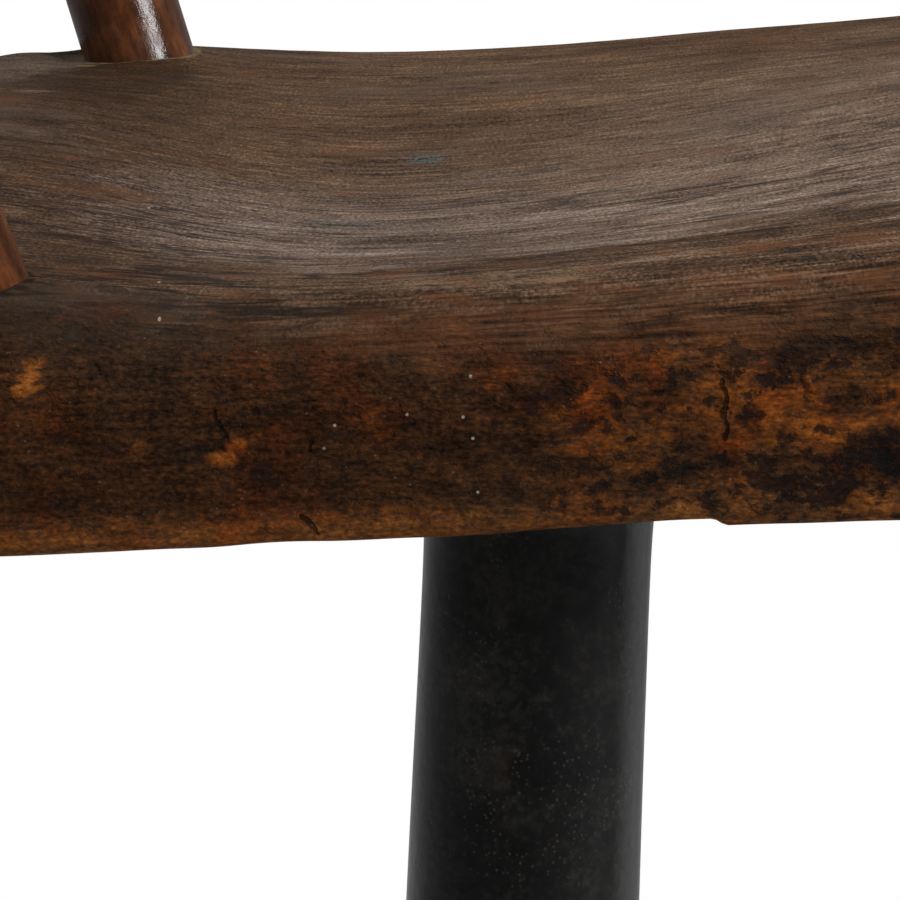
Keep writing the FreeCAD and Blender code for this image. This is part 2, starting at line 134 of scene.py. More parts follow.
# Colours, sRGB from 0 to 255
TOP_TONES = (0.40, 0.46, 0.53, 0.62)
# The top's grey shades paint a sheen and its palest ones paint light; the others are the wood's own colours
TOP_SHADES = {"patina": [(24, 16, 11), (53, 38, 27), (80, 59, 43), (124, 96, 74)],
              "brown": [(30, 20, 12), (70, 51, 36), (100, 76, 56), (148, 118, 90)],
              "rubbed_and_sheen": [(36, 27, 22), (87, 71, 60), (124, 106, 94), (178, 160, 146)],
              "light": [(46, 35, 27), (104, 84, 70), (144, 122, 105), (196, 176, 158)]}
EDGE_SHADES = [(0.34, (18, 12, 8)), (0.44, (48, 30, 18)), (0.53, (77, 47, 26)),
               (0.61, (112, 62, 25)), (0.70, (148, 85, 35)), (0.80, (174, 114, 60))]
VARNISH_SHADES = [(0.36, (50, 29, 17)), (0.5, (83, 48, 28)), (0.66, (124, 72, 42))]
BLACK_SHADES = [(0.36, (2, 2, 2)), (0.5, (6, 6, 5)), (0.62, (34, 33, 30))]
PEG_SHADES = [(0.35, (70, 42, 24)), (0.65, (128, 88, 54))]
# Near-black painted shade, laid in the gap round the right post's foot and in the edge's cracks
DEEP_GAP_SHADE = (10, 8, 6)

# Gloss, as the surface's specular level
PLANK_GLOSS, LEG_GLOSS, RAIL_GLOSS = 0.03, 0.33, 0.3
POST_GLOSS = {"left": 0.3, "right": 0.04}   # the right post's varnish has gone dull

# Camera, light and floor
CAMERA_PLACE = (-0.810852, -0.017987, 0.553989)
CAMERA_LENS, CAMERA_SENSOR = 151.42, 36.0    # millimetres
CAMERA_TURN, CAMERA_DOWN = math.radians(2.2), math.radians(13.85)
LIGHTS = [("overhead", (0.35, -0.6, 2.1), (0, 0, 0.43), 1.8, 1.8, 21),    # place, target, size and watts
          ("left_fill", (-0.9, 1.4, 1.5), (0.1, 0.1, 0.43), 0.8, 0.8, 5.0),
          ("camera_side", (-0.90, -1.14, 1.33), (0.14, 0.10, 0.45), 0.55, 0.4, 19),
          ("back_fill", (0.9, 0.9, 1.1), (0.14, 0.14, 0.43), 0.8, 0.8, 3.0),
          ("right_panel", (0.2, -1.6, 0.3), (-0.1, 0.0, 0.36), 1.4, 0.6, 1.2)]
STUDIO_BEHIND = (0.88, -0.47, 0)             # direction of the brighter part of the studio
STUDIO_TURN, STUDIO_LEVELS = (0.0, 0.7), (0.03, 0.26)
FLOOR_REACH = 12.0
FLOOR_FADE = (0.34, 0.63)                    # distance over which the floor turns plain white
FLOOR_GLOW = 0.6                             # share of white it has already close to the chair

SEAT_FRAME = Matrix.Translation((0, ROW_SHIFT_Y, SEAT_HEIGHT)) @ Matrix.Rotation(-SEAT_TILT, 4, "X")
SIDES = {"right": -1, "left": 1}


# Numbers

def smooth_step(low, high, value):
    """0 below low, 1 above high, eased between; works on arrays and with low above high."""
    share = np.clip((value - low) / (high - low), 0.0, 1.0)
    return share * share * (3 - 2 * share)


def noise_at(points, frequencies, offset=0.0):
    """Perlin noise, about -1 to 1, at each point scaled per axis."""
    scaled = points * np.array(frequencies) + offset
    return np.array([noise.noise(Vector(p)) for p in scaled])


def linear(red, green, blue):
    """Scene colour of an sRGB colour given as 0 to 255."""
    parts = [c / 255 for c in (red, green, blue)]
    return tuple(c / 12.92 if c <= 0.04045 else ((c + 0.055) / 1.055) ** 2.4 for c in parts) + (1.0,)


# Meshes

def add_mesh(name, points, faces, matrix, material, replaces):
    """New smooth-shaded piece on the chair's one body."""
    mesh = bpy.data.meshes.new(name)
    mesh.from_pydata([tuple(p) for p in points], [], faces)
    mesh.polygons.foreach_set("use_smooth", [True] * len(mesh.polygons))
    mesh.materials.append(material)
    mesh.update()
    piece = bpy.data.objects.new(name, mesh)
    bpy.context.scene.collection.objects.link(piece)
    piece.matrix_world = matrix
    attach(piece, "root")
    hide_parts(replaces)
    return piece


def ring_faces(rings, around):
    """Quads between neighbouring closed rings, then a fan at each end to two added centre points."""
    faces = []
    for r in range(rings - 1):
        for a in range(around):
            b = (a + 1) % around
            faces.append((r * around + a, r * around + b, (r + 1) * around + b, (r + 1) * around + a))
    first, last = rings * around, rings * around + 1
    top = (rings - 1) * around
    for a in range(around):
        b = (a + 1) % around
        faces.append((b, a, first))
        faces.append((top + a, top + b, last))
    return faces


def vertex_places(mesh):
    places = np.zeros(len(mesh.vertices) * 3)
    mesh.vertices.foreach_get("co", places)
    return places.reshape(-1, 3)


def push_out(mesh, points, distance):
    """Moves each vertex along its normal."""
    normals = np.zeros(len(mesh.vertices) * 3)
    mesh.vertex_normals.foreach_get("vector", normals)
    moved = points + normals.reshape(-1, 3) * distance[:, None]
    mesh.vertices.foreach_set("co", moved.ravel())
    mesh.update()


# Seat shape

def scoop_depth(x, y):
    along = y - SCOOP_BEHIND_CENTRE
    reach = np.where(along > 0, SCOOP_BACK_REACH, SCOOP_FRONT_REACH)
    lengthwise = np.cos(np.pi / 2 * np.minimum(1, np.abs(along) / reach)) ** 2
    crosswise = np.cos(np.pi / 2 * np.minimum(1, np.abs(x) / (SEAT_WIDTH / 2))) ** 2
    return SCOOP_DEPTH * lengthwise * (SCOOP_RIM_SHARE + (1 - SCOOP_RIM_SHARE) * crosswise)


def bowed_edge(x, y, edge, bow):
    """Signed distance to an edge that swells by bow at its middle, for the edge on the +y side."""
    half = SEAT_WIDTH / 2
    radius = (half ** 2 + bow ** 2) / (2 * bow)
    return np.hypot(x, y - (edge + bow - radius)) - radius


def rounded_pair(a, b, radius):
    """Signed distance inside two edges that meet in a corner of that radius."""
    outside = np.hypot(np.maximum(a + radius, 0), np.maximum(b + radius, 0))
    return outside + np.minimum(np.maximum(a + radius, b + radius), 0) - radius


def plan_distance(x, y):
    """Signed distance to the plank's outline, negative inside."""
    side = np.abs(x) - SEAT_WIDTH / 2
    back = rounded_pair(side, bowed_edge(x, y, SEAT_DEPTH / 2, BACK_BOW), BACK_CORNER)
    front = rounded_pair(side, bowed_edge(x, -y, SEAT_DEPTH / 2, FRONT_BOW), FRONT_CORNER)
    return np.where(y > 0, back, front)


def plan_outline(count):
    """Points on the outline, twice as close on the right side, and their outward normals."""
    angles = np.linspace(0, 2 * np.pi, OUTLINE_SAMPLES, endpoint=False)
    low, high = np.zeros_like(angles), np.full_like(angles, SEAT_DEPTH)
    for _ in range(OUTLINE_HALVINGS):
        middle = (low + high) / 2
        inside = plan_distance(middle * np.cos(angles), middle * np.sin(angles)) < 0
        low, high = np.where(inside, middle, low), np.where(inside, high, middle)
    x, y = low * np.cos(angles), low * np.sin(angles)
    x, y = np.append(x, x[0]), np.append(y, y[0])
    density = np.where(x[1:] < -0.9 * SEAT_WIDTH / 2, 2.0, 1.0)
    length = np.append(0, np.cumsum(density * np.hypot(np.diff(x), np.diff(y))))
    at = np.linspace(0, length[-1], count, endpoint=False)
    x, y = np.interp(at, length, x), np.interp(at, length, y)
    step = 0.1 * MILLIMETRE
    nx = plan_distance(x + step, y) - plan_distance(x - step, y)
    ny = plan_distance(x, y + step) - plan_distance(x, y - step)
    size = np.hypot(nx, ny)
    return x, y, nx / size, ny / size


def seat_rings(around):
    """Points of the plank from the underside's middle over the edge to the top's middle.
    Also returns how far each point lies from the top towards the side: 0 on top, 1 on the side."""
    x, y, nx, ny = plan_outline(around)
    worn = smooth_step(0.2, -0.8, nx)
    round_in = TOP_ROUND + worn * (WORN_ROUND_IN - TOP_ROUND)
    round_down = TOP_ROUND + worn * (WORN_ROUND_DOWN - TOP_ROUND)
    rings, rims = [], []

    def add(inset, share, z, rim):
        rings.append(np.stack([(x - nx * inset) * share, (y - ny * inset) * share, z + 0 * x], axis=1))
        rims.append(np.full(around, rim))

    under = -SEAT_THICKNESS
    for share in np.linspace(0.05, 1, UNDER_RINGS)[:-1]:
        add(UNDER_ROUND, share, under, 1)
    for turn in np.linspace(0, np.pi / 2, ARRIS_RINGS):
        inset = UNDER_ROUND * (1 - np.sin(turn))
        add(inset, 1, under + UNDER_ROUND * (1 - np.cos(turn)), 1)
    top = -scoop_depth(x - nx * round_in, y - ny * round_in)
    for share in np.linspace(0, 1, SIDE_RINGS)[1:]:
        add(0, 1, (under + UNDER_ROUND) * (1 - share) + (top - round_down) * share, 1)
    for turn in np.linspace(np.pi / 2, 0, ROUND_RINGS)[1:]:
        add(round_in * (1 - np.sin(turn)), 1, top - round_down * (1 - np.cos(turn)), np.sin(turn))
    for share in np.linspace(1, 0.02, TOP_RINGS)[1:]:
        add(round_in, share, 0, 0)
        flat = rings[-1]
        flat[:, 2] = -scoop_depth(flat[:, 0], flat[:, 1])
    centres = np.array([[0, 0, under], [0, 0, -scoop_depth(0.0, 0.0)]])
    points = np.concatenate(rings + [centres])
    return points, np.concatenate(rims + [np.array([1.0, 0.0])]), len(rings)


def hewn_relief(points, rim):
    """Height of the hand-hewn unevenness over the plank."""
    on_edge = (noise_at(points, (22, 16, 30)) + 0.7 * noise_at(points, (60, 45, 80), 7.3)
               + 0.5 * noise_at(points, (170, 130, 200), 3.1))
    on_top = 0.35 * noise_at(points, (26, 6, 20), 1.7) + 0.12 * noise_at(points, (130, 12, 90), 5.9)
    under = smooth_step(-SEAT_THICKNESS + UNDER_ROUND, -SEAT_THICKNESS, points[:, 2])
    edge = rim * (1 - under)
    return MILLIMETRE * (0.7 * edge * on_edge + (1 - rim) * on_top)


def arris_wander(points):
    """Wandering of the hewn lower edge up and down."""
    low = smooth_step(-SEAT_THICKNESS + 0.014, -SEAT_THICKNESS, points[:, 2])
    out = smooth_step(-0.012, -0.004, plan_distance(points[:, 0], points[:, 1]))
    wave = 0.4 * noise_at(points, (24, 24, 0), 2.2) + 0.25 * noise_at(points, (75, 75, 0), 8.8)
    behind = smooth_step(0.080, 0.096, points[:, 1])
    return MILLIMETRE * low * out * (wave - 0.3 - 0.45 * behind)


def top_wander(points):
    """Slow rise and fall of the hewn top along its left side."""
    left = smooth_step(0.03, 0.13, points[:, 0]) * (points[:, 2] > -SEAT_THICKNESS / 2)
    swell = np.exp(-((points[:, 1] - 0.075) / 0.045) ** 2)
    return MILLIMETRE * left * (0.7 * swell - smooth_step(0.0, -0.055, points[:, 1]))


def near_arris_chip(points):
    """Long shallow chip out of the right side's lower edge, ending in a sharp step."""
    along = smooth_step(0.050, 0.008, points[:, 1]) * smooth_step(0.0006, 0.0034, points[:, 1])
    low = smooth_step(-SEAT_THICKNESS + 0.012, -SEAT_THICKNESS, points[:, 2])
    side = smooth_step(-0.150, -0.168, points[:, 0])
    return CHIP_DEPTH * along * low * side


def left_post_seat(points, rim):
    """Tilt of the carved top round the left post: it falls towards the back there."""
    across = points[:, 0] - POST_ACROSS
    along = points[:, 1] - POST_LINE
    near = smooth_step(0.030, 0.013, np.hypot(across, along)) * smooth_step(0.016, 0.006, across)
    lift = -near * np.clip(along, -0.010, 0.018) * POST_SEAT_FALL
    return lift * (1 - rim) * (points[:, 2] > -SEAT_THICKNESS / 2)


def build_seat(material):
    points, rim, rings = seat_rings(SEAT_AROUND)
    faces = ring_faces(rings, SEAT_AROUND)
    seat = add_mesh("seat", points, faces, SEAT_FRAME, material, "seat_plank")
    push_out(seat.data, points, hewn_relief(points, rim))
    shaped = vertex_places(seat.data)
    shaped[:, 2] += near_arris_chip(shaped) + arris_wander(points)
    shaped[:, 2] += left_post_seat(points, rim) + top_wander(points)
    seat.data.vertices.foreach_set("co", shaped.ravel())
    seat.data.update()
    rim_attribute = seat.data.attributes.new("rim", "FLOAT", "POINT")
    rim_attribute.data.foreach_set("value", rim)


# Round pieces

def axis_matrix(origin, direction, across=Vector((1, 0, 0))):
    """Frame with Z along the direction and X as near as can be to the one given."""
    z = Vector(direction).normalized()
    y = z.cross(across).normalized()
    x = y.cross(z)
    turn = Matrix((x, y, z)).transposed().to_4x4()
    return Matrix.Translation(origin) @ turn


def frame_axis(matrix):
    """Direction of a frame's Z."""
    return matrix.to_3x3() @ Vector((0, 0, 1))


def seat_point(x, y, z):
    return SEAT_FRAME @ Vector((x, y, z))


def curve_through(heights, values, at):
    """Smooth curve, one polynomial, through a few stations."""
    heights = np.array(heights)
    middle, reach = heights.mean(), np.ptp(heights)
    fit = np.polyfit((heights - middle) / reach, np.array(values), len(heights) - 1)
    return np.polyval(fit, (at - middle) / reach)


def round_piece(name, matrix, low, high, radius, along, around, wobble, material):
    """Lathe-like piece between two heights that may differ round the axis, with a hand-made wobble.
    low and high give the height for each angle, radius gives the radius at a height and share of the way."""
    angles = np.linspace(0, 2 * np.pi, around, endpoint=False)
    starts, ends = low(angles), high(angles)
    rings = []
    for share in along:
        heights = starts + share * (ends - starts)
        r = radius(heights, share)
        rings.append(np.stack([r * np.cos(angles), r * np.sin(angles), heights], axis=1))
    centres = np.array([rings[0].mean(axis=0), rings[-1].mean(axis=0)])
    points = np.concatenate(rings + [centres])
    piece = add_mesh(name, points, ring_faces(len(along), around), matrix, material, name)
    seed = sum(ord(letter) for letter in name) * 0.37
    relief = wobble * (noise_at(points, (28, 28, 9), seed) + 0.4 * noise_at(points, (110, 110, 24), seed))
    ends_still = np.minimum(1, 8 * np.minimum(along, 1 - along))
    push_out(piece.data, points, relief * np.concatenate([np.repeat(ends_still, around), [0, 0]]))


def plane_height(matrix, point, normal):
    """Height along a frame's Z where the line at (r, angle) meets a plane, as a function of both."""
    inverse = matrix.inverted()
    p = inverse @ Vector(point)
    n = inverse.to_3x3() @ Vector(normal)

    def height(radius, angles):
        return (n.dot(p) - n.x * radius * np.cos(angles) - n.y * radius * np.sin(angles)) / n.z
    return height


def leg_matrix(side, line, rake):
    x = side * (SEAT_WIDTH / 2 - LEG_INSET)
    upwards = Vector((-side * math.tan(LEG_SPLAY), -math.tan(rake), 1))
    return axis_matrix(seat_point(x, line, -SEAT_THICKNESS), upwards)


def build_leg(name, side, line, rake, material):
    """Tapered leg from the floor into the plank's underside."""
    matrix = leg_matrix(side, line, rake)
    length = matrix.translation.z / frame_axis(matrix).z
    taper = (LEG_SWELL - LEG_FOOT) / (length - LEG_SWELL_DROP)
    beyond = 0.030    # of the curve's outer stations, past both ends
    heights = [-length - beyond, -length, -LEG_SWELL_DROP, 0, beyond]
    widths = [LEG_FOOT - taper * beyond, LEG_FOOT, LEG_SWELL, LEG_NECK, LEG_NECK]
    floor = plane_height(matrix, (0, 0, 0), (0, 0, 1))
    under = plane_height(matrix, seat_point(0, 0, -SEAT_THICKNESS + LEG_ENTRY), frame_axis(SEAT_FRAME))

    def radius(at, share):
        flare = LEG_FLARE * np.exp(np.minimum(0, at) / LEG_FLARE_FADE)
        worn = FOOT_WORN * math.exp(-share / FOOT_WORN_SHARE)
        return curve_through(heights, widths, at) / 2 + flare - worn

    def low(angles):
        return floor(LEG_FOOT / 2 - FOOT_WORN, angles)

    def high(angles):
        return under(LEG_NECK / 2, angles)

    foot_rings = np.linspace(0, FOOT_SHARE, FOOT_RINGS)
    along = np.concatenate([foot_rings, np.linspace(FOOT_SHARE, 1, LEG_RINGS)[1:]])
    round_piece(name, matrix, low, high, radius, along, LEG_AROUND, LEG_WOBBLE, material)


def leg_axis_point(side, line, rake, height):
    matrix = leg_matrix(side, line, rake)
    axis = frame_axis(matrix)
    return matrix.translation + axis * ((height - matrix.translation.z) / axis.z)


def build_stretcher(name, start, end, across, end_width, swell, entered, material):
    """Swelled rod whose straight ends enter the pieces on both sides."""
    length = (end - start).length
    neck = entered / 2 + STRETCHER_NECK
    matrix = axis_matrix(start, end - start, across)

    def radius(at, share):
        inside = np.clip((at - neck) / (length - 2 * neck), 0, 1)
        return end_width / 2 + (swell - end_width) / 2 * 4 * inside * (1 - inside)

    def low(angles):
        return np.full_like(angles, STRETCHER_STOP)

    def high(angles):
        return np.full_like(angles, length - STRETCHER_STOP)

    along = np.linspace(0, 1, STRETCHER_RINGS)
    round_piece(name, matrix, low, high, radius, along, STRETCHER_AROUND, STRETCHER_WOBBLE,
                material)


def post_matrix(side):
    """Frame of a post; its foot stands a little off the drawn place, its top end on it."""
    foot = seat_point(side * POST_ACROSS, POST_LINE, 0)
    upwards = Vector((side * math.tan(POST_SPLAY), math.tan(POST_RAKE), 1))
    top = foot + POST_RISE * upwards
    foot.y += POST_FOOT_SHIFT[side]
    return axis_matrix(foot, top - foot)


def build_post(name, side, material):
    """Raked post from its foot under the plank to the crest's underside."""
    matrix = post_matrix(side)
    axis = frame_axis(matrix)
    shoulder = POST_RISE / axis.z
    under = plane_height(matrix, seat_point(0, 0, -SEAT_THICKNESS - POST_PROUD), frame_axis(SEAT_FRAME))
    rake = Vector((0, math.sin(POST_RAKE), math.cos(POST_RAKE)))
    top = plane_height(matrix, matrix.translation + axis * shoulder, rake)

    def radius(at, share):
        inside = np.clip((at - POST_STRAIGHT) / (shoulder - POST_STRAIGHT), 0, 1)
        return (POST_DIAMETER + inside * (POST_TOP_DIAMETER - POST_DIAMETER)) / 2

    def low(angles):
        return under(POST_DIAMETER / 2, angles)

    def high(angles):
        return top(POST_TOP_DIAMETER / 2, angles)

    along = np.linspace(0, 1, POST_RINGS)
    round_piece(name, matrix, low, high, radius, along, POST_AROUND, POST_WOBBLE, material)


def remeshed(node, voxel, relief, material):
    """Copy of a CAD node with an even fine mesh and a slight hand-made unevenness."""
    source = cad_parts[node]
    mesh = bpy.data.meshes.new_from_object(source)
    mesh.materials.clear()
    mesh.materials.append(material)
    piece = bpy.data.objects.new(node + "_shaped", mesh)
    bpy.context.scene.collection.objects.link(piece)
    remesh = piece.modifiers.new("even", "REMESH")
    remesh.mode = "VOXEL"
    remesh.voxel_size = voxel
    relax = piece.modifiers.new("relax", "SMOOTH")
    relax.factor = 0.5
    relax.iterations = 3
    fine = bpy.data.meshes.new_from_object(piece.evaluated_get(bpy.context.evaluated_depsgraph_get()))
    piece.modifiers.clear()
    piece.data = fine
    points = vertex_places(fine)
    push_out(fine, points, relief * noise_at(points, RAIL_FREQUENCIES, 4.4))
    fine.polygons.foreach_set("use_smooth", [True] * len(fine.polygons))
    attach(piece, "root")
    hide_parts(node)


# Material helpers

class Shader:
    """One material's node tree, with short calls that return output sockets."""

    def __init__(self, name):
        self.material = bpy.data.materials.new(name)
        self.material.use_nodes = True
        self.tree = self.material.node_tree
        self.surface = self.tree.nodes["Principled BSDF"]
        self.place = self.tree.nodes.new("ShaderNodeTexCoord").outputs["Object"]

    def put(self, value, socket):
        """Links a socket to another, or sets its plain value."""
        if isinstance(value, bpy.types.NodeSocket):
            self.tree.links.new(value, socket)
        else:
            socket.default_value = value

    def put_surface(self, name, value):
        self.put(value, self.surface.inputs[name])

    def math(self, operation, a, b=0.0, clamp=False):
        node = self.tree.nodes.new("ShaderNodeMath")
        node.operation = operation
        node.use_clamp = clamp
        self.put(a, node.inputs[0])
        self.put(b, node.inputs[1])
        return node.outputs[0]

    def plus(self, a, b):
        return self.math("ADD", a, b)

    def minus(self, a, b):
        return self.math("SUBTRACT", a, b)

    def times(self, a, b):
        return self.math("MULTIPLY", a, b)

    def larger(self, a, b):
        return self.math("MAXIMUM", a, b)

    def blend(self, a, share_a, b, share_b):
        """Weighted sum of two values."""
        return self.plus(self.times(a, share_a), self.times(b, share_b))

    def centred(self, value):
        """A noise, moved to run about zero."""
        return self.minus(value, 0.5)

    def vector(self, operation, a, b):
        node = self.tree.nodes.new("ShaderNodeVectorMath")
        node.operation = operation
        self.put(a, node.inputs[0])
        self.put(b, node.inputs[1])
        return node.outputs["Value" if operation == "LENGTH" else "Vector"]

    def stretched(self, vector, scale):
        return self.vector("MULTIPLY", vector, scale)

    def moved(self, vector, offset):
        return self.vector("ADD", vector, offset)

    def jittered(self, scale, detail, roughness, reach):
        """The place, moved to and fro by a noise, at most half the reach on each axis."""
        noise_colour = self.noise(self.place, scale, detail, roughness, True)
        jitter = self.vector("SUBTRACT", noise_colour, (0.5, 0.5, 0.5))
        return self.moved(self.place, self.stretched(jitter, reach))

    def axes(self, vector):
        node = self.tree.nodes.new("ShaderNodeSeparateXYZ")
        self.put(vector, node.inputs[0])
        return node.outputs

    def noise(self, vector, scale, detail=3.0, roughness=0.55, colour=False):
        node = self.tree.nodes.new("ShaderNodeTexNoise")
        self.put(vector, node.inputs["Vector"])
        node.inputs["Scale"].default_value = scale
        node.inputs["Detail"].default_value = detail
        node.inputs["Roughness"].default_value = roughness
        return node.outputs["Color" if colour else "Fac"]

    def cells(self, vector, scale):
        """Distance to the nearest of scattered points."""
        node = self.tree.nodes.new("ShaderNodeTexVoronoi")
        self.put(vector, node.inputs["Vector"])
        node.inputs["Scale"].default_value = scale
        return node.outputs["Distance"]

    def step(self, value, low, high):
        """0 at low, 1 at high, eased between."""
        node = self.tree.nodes.new("ShaderNodeMapRange")
        node.interpolation_type = "SMOOTHSTEP"
        self.put(value, node.inputs["Value"])
        node.inputs["From Min"].default_value = low
        node.inputs["From Max"].default_value = high
        return node.outputs["Result"]

    def away(self, u, v, centre, half):
        """Square of the distance from the middle of an ellipse, 1 on the ellipse."""
        across = self.math("DIVIDE", self.minus(u, centre[0]), half[0])
        along = self.math("DIVIDE", self.minus(v, centre[1]), half[1])
        return self.plus(self.times(across, across), self.times(along, along))

    def spot(self, u, v, centre, half):
        """1 in the middle of an ellipse, 0 outside it."""
        return self.step(self.away(u, v, centre, half), *SPOT_FADE)

    def line(self, u, v, start, end, half_width):
        """1 on a straight line between two points, 0 beside it."""
        run = (end[0] - start[0], end[1] - start[1])
        square = run[0] ** 2 + run[1] ** 2
        du, dv = self.minus(u, start[0]), self.minus(v, start[1])
        share = self.math("DIVIDE", self.blend(du, run[0], dv, run[1]), square, clamp=True)
        off_u = self.minus(du, self.times(share, run[0]))
        off_v = self.minus(dv, self.times(share, run[1]))
        away = self.plus(self.times(off_u, off_u), self.times(off_v, off_v))
        return self.step(away, half_width ** 2, 0.2 * half_width ** 2)

    def mix(self, share, a, b, blend="MIX"):
        node = self.tree.nodes.new("ShaderNodeMix")
        node.data_type = "RGBA"
        node.blend_type = blend
        self.put(share, node.inputs["Factor"])
        self.put(a, node.inputs[6])
        self.put(b, node.inputs[7])
        return node.outputs[2]

    def tint(self, colour, over, mask, strength):
        """A colour with an sRGB one laid over it where the mask is 1, at that strength."""
        return self.mix(self.times(mask, strength), colour, linear(*over))

    def ramp(self, share, stops):
        """Colour that runs through sRGB stops, each a position and its colour."""
        node = self.tree.nodes.new("ShaderNodeValToRGB")
        self.put(share, node.inputs["Fac"])
        stops = [(position, linear(*colour)) for position, colour in stops]
        ends = node.color_ramp.elements
        ends[0].position, ends[0].color = stops[0]
        ends[1].position, ends[1].color = stops[-1]
        for position, colour in stops[1:-1]:
            ends.new(position).color = colour
        return node.outputs["Color"]

    def attribute(self, name):
        node = self.tree.nodes.new("ShaderNodeAttribute")
        node.attribute_name = name
        return node.outputs["Fac"]

    def bump(self, height, depth, before=None):
        """Bump of a height that runs from 0 to 1, depth metres deep."""
        node = self.tree.nodes.new("ShaderNodeBump")
        node.inputs["Strength"].default_value = 1.0
        node.inputs["Distance"].default_value = depth
        self.put(height, node.inputs["Height"])
        if before is not None:
            self.put(before, node.inputs["Normal"])
        return node.outputs["Normal"]


# Plank's top

def foot_ring(s, x, y, side, width):
    """1 on the top within that width of a post's foot, 0 further out."""
    centre = (side * POST_ACROSS, POST_LINE + POST_FOOT_SHIFT[side])
    half = [POST_DIAMETER / 2 / math.cos(lean) + width for lean in (POST_SPLAY, POST_RAKE)]
    return s.step(s.away(x, y, centre, half), 1.08, 0.96)


def top_tone(s, grain, x, near):
    """Light and dark of the top, stronger towards the right side; also its fibres and its patches alone."""
    short_fibre = s.noise(s.stretched(grain, (1, 0.05, 1)), 900, 2, 0.6)
    long_fibre = s.noise(s.stretched(grain, (1, 0.022, 1)), 560, 2, 0.6)
    fibre = s.blend(short_fibre, 0.6, long_fibre, 0.4)
    speckle = s.noise(s.stretched(s.place, (0.5, 1, 0.5)), 1500, 1, 0.6)
    patch = s.noise(s.stretched(s.place, (1, 0.4, 1)), 60, 4, 0.6)
    tone = s.plus(s.blend(fibre, 0.44, patch, 0.28), s.times(speckle, 0.28))
    contrast = s.plus(s.blend(near, 0.4, s.step(x, 0.08, -0.06), 0.25), 0.72)
    return s.plus(s.times(s.centred(tone), contrast), 0.5), fibre, patch


def worn_top(s, x, y, tone, wander):
    """Base colours: a grey painted sheen right of the middle, painted light over the sitting place, darker
    at the back and right side.
    """
    shades = {name: s.ramp(tone, list(zip(TOP_TONES, colours))) for name, colours in TOP_SHADES.items()}
    across, along = s.plus(x, wander), s.plus(y, wander)
    # Painted sheen: a grey band right of the middle of the top
    grey_sheen = s.times(s.step(across, 0.050, -0.040), s.step(across, -0.120, -0.075))
    colour = s.mix(grey_sheen, shades["brown"], shades["rubbed_and_sheen"])
    # Painted light: the palest shades over the front middle of the top, where more light falls
    middle = s.times(s.step(x, 0.140, 0.020), s.step(across, -0.125, -0.070))
    front = s.times(s.step(along, 0.080, -0.030), middle)
    colour = s.mix(s.times(front, 0.75), colour, shades["light"])
    colour = s.mix(s.step(along, 0.092, 0.138), colour, shades["patina"])
    # Darker towards the right side, most at the back
    darkening = s.plus(s.times(s.step(y, 0.000, 0.050), 0.28), 0.12)
    return s.tint(colour, (54, 38, 27), s.step(x, -0.070, -0.125), darkening)


def discoloured(s, colour, near, cool):
    """Warm and cool clouds all over, rusty and sooty ones towards the right side."""
    warm = s.noise(s.stretched(s.moved(s.place, (0.3, 0.7, 0.1)), (1, 0.55, 1)), 58, 5, 0.62)
    colour = s.tint(colour, (112, 70, 42), s.step(warm, 0.53, 0.68), 0.3)
    colour = s.tint(colour, (104, 92, 84), s.step(cool, 0.54, 0.68), 0.22)
    rusty = s.noise(s.stretched(s.moved(s.place, (1.3, 0.1, 0.8)), (1, 0.6, 1)), 130, 4, 0.65)
    colour = s.tint(colour, (116, 68, 38), s.times(near, s.step(rusty, 0.53, 0.64)), 0.45)
    return s.tint(colour, (26, 23, 22), s.times(near, s.step(rusty, 0.44, 0.36)), 0.6)


def fissures(s, grain, x, cool):
    """Dark lines along the grain, more of them on the right half."""
    lines = s.noise(s.stretched(grain, (1, 0.12, 1)), 150, 3, 0.55)
    lines = s.step(s.math("ABSOLUTE", s.centred(lines)), 0.040, 0.012)
    often = s.times(s.step(cool, 0.44, 0.56), s.step(x, 0.05, -0.05))
    return s.times(lines, s.plus(s.times(often, 0.6), 0.2))


def top_marks(s, colour, x, y, tone, wander):
    """Paint traces, a grey painted light and painted shadows by the posts, and the glue and the painted
    shade of the gap round their feet.
    """
    for centre, half, strength in PAINT_TRACES:
        trace = s.times(s.spot(x, y, centre, half), s.step(tone, 0.42, 0.54))
        colour = s.tint(colour, (78, 106, 108), trace, strength)
    uneven_x, uneven_y = s.plus(x, wander), s.plus(y, s.times(wander, 0.3))
    # Painted light: a paler grey spot that lightens the left post's shadow
    painted_light_spot = s.times(s.spot(uneven_x, uneven_y, *GREY_PAINTED_LIGHT), s.step(tone, 0.42, 0.56))
    colour = s.tint(colour, (126, 110, 96), painted_light_spot, 0.5)
    # Painted shadows of the posts on the top
    for centre, half in POST_PAINTED_SHADOWS:
        colour = s.tint(colour, (34, 26, 20), s.spot(uneven_x, uneven_y, centre, half), 0.4)
    broken = s.step(s.noise(s.place, 300, 3, 0.6), 0.42, 0.56)
    glue = s.times(foot_ring(s, x, y, SIDES["left"], GLUE_LINE), broken)
    colour = s.tint(colour, (122, 106, 78), glue, 0.75)
    colour = s.tint(colour, (150, 128, 62), s.spot(x, y, *GLUE_FLECK), 0.7)
    # Painted shadow in the gap round the right post's foot
    gap_shadow = s.times(foot_ring(s, x, y, SIDES["right"], POST_GAP_SHADOW), broken)
    return s.tint(colour, DEEP_GAP_SHADE, gap_shadow, 0.85)


